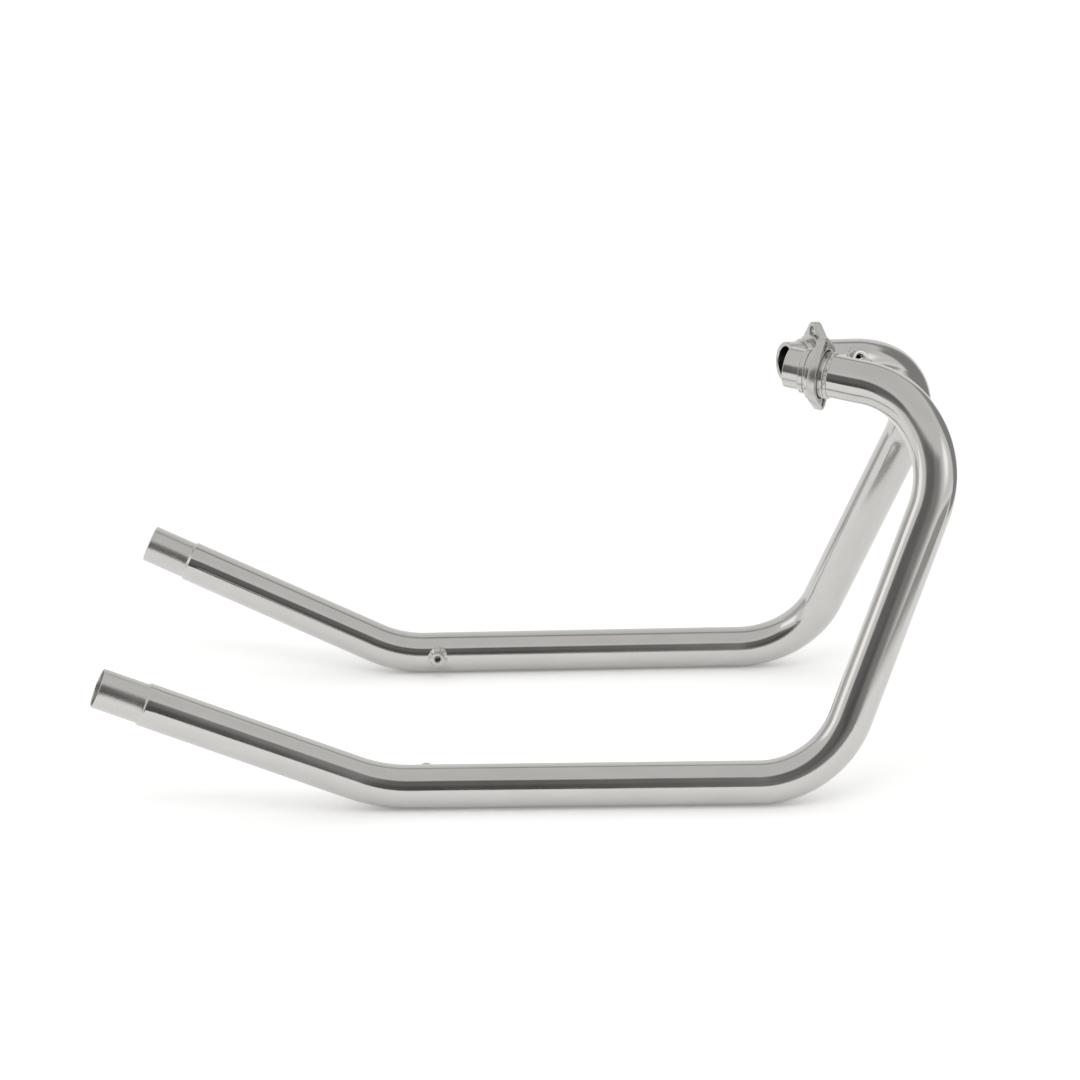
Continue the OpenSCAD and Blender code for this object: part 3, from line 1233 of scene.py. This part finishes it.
@dataclass
class HeaderSide:
    """One down pipe with everything on it."""

    layout: PipeLayout
    sensor_back: float = 0.062
    sensor_turn_degrees: float = 134.0
    hanger_along: float = 0.012
    hanger_turn_degrees: float = 68.0

    def keep(self, thing: Thing, body: Body, slot: str, *nodes: str) -> None:
        """Rides a piece on its body, hides the CAD nodes that it replaces, and logs it.

        Args:
            thing: the finished piece.
            body: the body it moves with.
            slot: a material slot name; not used.
            nodes: the CAD nodes that it replaces, without their side.
        """
        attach(thing, body.value)
        if nodes:
            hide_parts(*[f"{self.layout.side.value}_{n}" for n in nodes])
        log.info("%s: %d faces, on %s", thing.name, len(thing.data.polygons), body.value)

    def sensor_boss(self) -> ThreadedBoss:
        """The M10 boss for the sensor, drilled through the tube."""
        return ThreadedBoss(
            f"{self.layout.side.value}_sensor_boss",
            self.layout.tube_radius,
            outer_radius=0.008,
            crest_radius=0.00445,
            thread_depth=0.0005,
            rise=0.0075,
            hole_depth=0.0089,
            through=True,
            bead_width=0.0042,
            bead_rise=0.0030,
            bead_length=0.0046,
            ripples=22,
            seed=3,
            unevenness=0.22,
            crust=0.0022,
        )

    def hanger_boss(self) -> ThreadedBoss:
        """The M6 boss for the hanger, with a blind hole."""
        return ThreadedBoss(
            f"{self.layout.side.value}_hanger_boss",
            self.layout.tube_radius,
            outer_radius=0.006,
            crest_radius=0.0026,
            thread_depth=0.0004,
            rise=0.0125,
            hole_depth=0.011,
            through=False,
            bead_width=0.0052,
            bead_rise=0.0038,
            bead_length=0.0052,
            ripples=14,
            seed=11,
            unevenness=0.34,
            crust=0.0040,
        )

    def dress(self, finishes: Finishes, recipes: Recipes) -> None:
        """Builds, rides and reports every piece of this side.

        Args:
            finishes: the materials.
            recipes: the geometry node trees.
        """
        right = self.layout.side is Side.RIGHT
        flange_body = Body.RIGHT_FLANGE if right else Body.LEFT_FLANGE
        pipes = Body.PIPES
        collar = PortCollar(self.layout)
        self.keep(collar.build(finishes.turned), pipes, "turned_steel", "port_collar")
        self.keep(collar.weld(recipes.weld, finishes.weld), pipes, "weld_steel", "collar_weld")
        flange = PortFlange(self.layout).build(finishes.plate)
        self.keep(flange, flange_body, "flange_steel", "port_flange")

        sensor_spin = turn(self.sensor_turn_degrees, "X")
        sensor_at = self.layout.mouth() @ shift(-self.sensor_back) @ sensor_spin
        hanger_spin = turn(self.hanger_turn_degrees, "X")
        hanger_at = self.layout.run() @ shift(self.hanger_along) @ hanger_spin
        sensor, hanger = self.sensor_boss(), self.hanger_boss()

        pipe = BentPipe(self.layout)
        tube = pipe.build(recipes.tube, finishes.tube)
        pipe.drill(tube, sensor_at, sensor.root)
        self.keep(tube, pipes, "tube_steel", "header_pipe")
        for boss, where, node in (
            (sensor, sensor_at, "sensor_boss"),
            (hanger, hanger_at, "hanger_boss"),
        ):
            self.keep(boss.build(where, finishes.turned), pipes, "turned_steel", node)
            self.keep(boss.thread(recipes.thread, where, finishes.turned), pipes, "turned_steel")
            bead = boss.weld(recipes.weld, where, finishes.weld)
            self.keep(bead, pipes, "weld_steel", f"{node}_weld")


# ---------------------------------------------------------------- studio


@dataclass(frozen=True)
class Card:
    """A card that only mirrors see: a corner, two sides, a level and its four soft edges."""

    name: str
    corner: tuple[float, float, float]
    side_u: tuple[float, float, float]
    side_v: tuple[float, float, float]
    level: float
    soft: tuple[float, float, float, float]
    tint: Colour = (1.0, 0.99, 0.975)
    least_soft: float = 0.001

    def build(self) -> None:
        """Makes the card on the stage, faded out towards its edges."""
        left, right, low, high = (max(s, self.least_soft) for s in self.soft)
        us = [0.0, left, 1.0 - right, 1.0]
        vs = [0.0, low, 1.0 - high, 1.0]
        corner, side_u, side_v = (Vector(v) for v in (self.corner, self.side_u, self.side_v))
        points = [corner + side_u * u + side_v * v for v in vs for u in us]
        cover = [float(i in (1, 2) and j in (1, 2)) for j in range(4) for i in range(4)]
        starts = [j * 4 + i for j in range(3) for i in range(3)]
        faces = [(s, s + 1, s + 5, s + 4) for s in starts]
        thing = mesh_object(self.name, points, [], faces)
        store(thing, "cover", "FLOAT", cover)
        sheet = NodeSheet(self.name)
        mask = {"Value": sheet.stored("cover")}
        fade = sheet.out("ShaderNodeMapRange", mask, interpolation_type="SMOOTHSTEP")
        clear = sheet.out("ShaderNodeBsdfTransparent")
        light = {"Color": rgba(self.tint), "Strength": self.level}
        glow = sheet.out("ShaderNodeEmission", light)
        both = sheet.out("ShaderNodeMixShader", {0: fade, 1: clear, 2: glow})
        thing.data.materials.append(sheet.end(both))
        thing.visible_camera = False
        thing.visible_diffuse = False
        thing.visible_shadow = False
        thing.visible_transmission = False


@dataclass
class Studio:
    """White floor under an even tent, with the cards and the lamp that light the steel."""

    floor_size: float = 40.0
    floor_colour: Colour = (0.93, 0.93, 0.93)
    lift: float = 0.13
    tent_level: float = 0.95
    tent_colour: Colour = (1.0, 0.998, 0.99)
    # Heights of the mirrored tent between which it fades, and its levels there.
    fade_from: float = 0.35
    fade_to: float = 0.85
    low_level: float = 0.90
    high_level: float = 0.78
    lamp_size: tuple[float, float] = (1.8, 0.9)
    lamp_power: float = 9.0
    lamp_colour: Colour = (1.0, 0.985, 0.96)
    lamp_place: tuple[float, float, float] = (-0.2, -1.3, 2.0)
    lamp_target: tuple[float, float, float] = (0.0, 0.0, 0.1)

    def cards(self) -> list[Card]:
        """The cards round the part, as the photograph's reflections place them."""
        return [
            Card(
                "far_front", (-1.35, -1.08, 0.0), (2.60, 0, 0), (0, 0, 1.14),
                0.30, (0.06, 0.30, 0.0, 0.20),
            ),
            Card(
                "mid_front", (-1.20, -1.06, 0.0), (1.60, 0, 0), (0, 0, 1.12),
                0.18, (0.30, 0.25, 0.0, 0.20),
            ),
            Card(
                "dark_front", (-1.10, -1.04, 0.0), (1.45, 0, 0), (0, 0, 0.50),
                0.10, (0.30, 0.35, 0.0, 0.55),
            ),
            Card(
                "right_lamp", (1.05, -0.93, 0.30), (0.35, 0.74, 0), (0, 0, 0.90),
                1.50, (0.40, 0.45, 0.40, 0.40),
            ),
            Card(
                "left_lamp", (-0.95, -0.42, 0.28), (0, 0.58, 0), (0, 0, 0.75),
                1.45, (0.20, 0.20, 0.15, 0.2),
            ),
            Card(
                "left_grey", (-1.24, 0.30, 0.0), (0.32, 0.62, 0), (0, 0, 0.95),
                0.60, (0.2, 0.2, 0.0, 0.2),
            ),
            Card(
                "dark_corner", (1.35, 0.02, 0.0), (-0.50, 0.92, 0), (0, 0, 1.20),
                0.33, (0.12, 0.25, 0.0, 0.25),
            ),
            Card(
                "dark_ground", (0.80, -0.1, 0.004), (1.0, 0, 0), (0, 1.1, 0),
                0.33, (0.2, 0.0, 0.15, 0.2),
            ),
            Card(
                "grey_ground", (0.55, -1.10, 0.004), (1.4, 0, 0), (0, 1.0, 0),
                0.46, (0.25, 0.0, 0.0, 0.1),
            ),
            Card(
                "roof_gap", (-3.0, 0.35, 0.84), (6.0, 0, 0), (0, 0.29, 0),
                0.40, (0.05, 0.05, 0.35, 0.35),
            ),
        ]

    def floor(self) -> None:
        """Lays the floor, lifted to white where the camera or a mirror sees it."""
        half = self.floor_size / 2
        corners = [(-half, -half, 0), (half, -half, 0), (half, half, 0), (-half, half, 0)]
        thing = mesh_object("floor", corners, [], [(0, 1, 2, 3)])
        sheet = NodeSheet("floor_white")
        path = sheet.add("ShaderNodeLightPath").outputs
        matt = sheet.out("ShaderNodeBsdfDiffuse", {"Color": rgba(self.floor_colour)})
        seen = sheet.sum("ADD", path["Is Camera Ray"], path["Is Glossy Ray"], clamp=True)
        strength = sheet.sum("MULTIPLY", seen, self.lift)
        lift = sheet.out("ShaderNodeEmission", {"Color": rgba((1, 1, 1)), "Strength": strength})
        thing.data.materials.append(sheet.end(sheet.out("ShaderNodeAddShader", {0: matt, 1: lift})))

    def tent(self) -> None:
        """Lights the floor evenly from all round; the steel mirrors a tent duller overhead."""
        world = bpy.data.worlds.new("tent")
        bpy.context.scene.world = world
        world.use_nodes = True
        desk = NodeDesk(world.node_tree)
        desk.tree.nodes.clear()
        glossy = desk.add("ShaderNodeLightPath").outputs["Is Glossy Ray"]
        spot = desk.add("ShaderNodeTexCoord").outputs["Generated"]
        height = desk.add("ShaderNodeSeparateXYZ", {0: spot}).outputs["Z"]
        mirrored = desk.span(
            height, self.fade_from, self.fade_to, self.low_level, self.high_level
        )
        level = desk.out("ShaderNodeMix", {0: glossy, 2: self.tent_level, 3: mirrored})
        light = {"Color": rgba(self.tent_colour), "Strength": level}
        desk.add("ShaderNodeOutputWorld", {"Surface": desk.out("ShaderNodeBackground", light)})

    def key(self) -> None:
        """Hangs one large soft lamp above and in front, that keeps the shadows short."""
        lamp = bpy.data.lights.new("soft_key", "AREA")
        lamp.shape = "RECTANGLE"
        lamp.size, lamp.size_y = self.lamp_size
        lamp.energy = self.lamp_power
        lamp.color = self.lamp_colour
        thing = link("soft_key", lamp)
        thing.location = self.lamp_place
        ahead = Vector(self.lamp_target) - thing.location
        thing.rotation_euler = ahead.to_track_quat("-Z", "Y").to_euler()
        thing.visible_glossy = False

    def build(self) -> None:
        """Sets up the floor, the tent, the lamp and the cards."""
        self.floor()
        self.tent()
        self.key()
        for card in self.cards():
            card.build()


@dataclass
class PhotoCamera:
    """The camera, worked out from the photograph's own edges."""

    place: tuple[float, float, float] = (0.0451, -2.9826, 1.1207)
    yaw_degrees: float = -1.158
    pitch_degrees: float = 18.160
    roll_degrees: float = -1.291
    focal_pixels: float = 3480.6
    middle: tuple[float, float] = (511.0, 587.5)
    frame_pixels: float = 1080.0
    sensor_mm: float = 36.0

    def build(self) -> None:
        """Makes the camera and hands it to the scene."""
        data = bpy.data.cameras.new("photo_camera")
        data.sensor_width = self.sensor_mm
        data.sensor_fit = "HORIZONTAL"
        data.lens = self.focal_pixels / self.frame_pixels * self.sensor_mm
        data.shift_x = (self.frame_pixels / 2 - self.middle[0]) / self.frame_pixels
        data.shift_y = (self.middle[1] - self.frame_pixels / 2) / self.frame_pixels
        angles = (self.yaw_degrees, self.pitch_degrees, self.roll_degrees)
        yaw, pitch, roll = (math.radians(a) for a in angles)
        flat = math.cos(pitch)
        ahead = Vector((math.sin(yaw) * flat, math.cos(yaw) * flat, -math.sin(pitch)))
        right = ahead.cross(Vector((0, 0, 1))).normalized()
        up = right.cross(ahead)
        tilted_right = right * math.cos(roll) + up * math.sin(roll)
        tilted_up = up * math.cos(roll) - right * math.sin(roll)
        rows = Matrix((tilted_right, tilted_up, -ahead)).transposed()
        thing = link("photo_camera", data)
        thing.matrix_world = Matrix.Translation(self.place) @ rows.to_4x4()
        bpy.context.scene.camera = thing


def main() -> None:
    """Builds the camera, the header and the studio."""
    logging.basicConfig(level=logging.INFO, format="%(name)s: %(message)s")
    bpy.context.scene.view_settings.view_transform = "Standard"
    PhotoCamera().build()
    finishes, recipes = Finishes(), Recipes()
    for side, lean in ((Side.RIGHT, 13.0), (Side.LEFT, 16.5)):
        HeaderSide(PipeLayout(side, lean_degrees=lean)).dress(finishes, recipes)
    Studio().build()


if __name__ == "__main__":
    main()
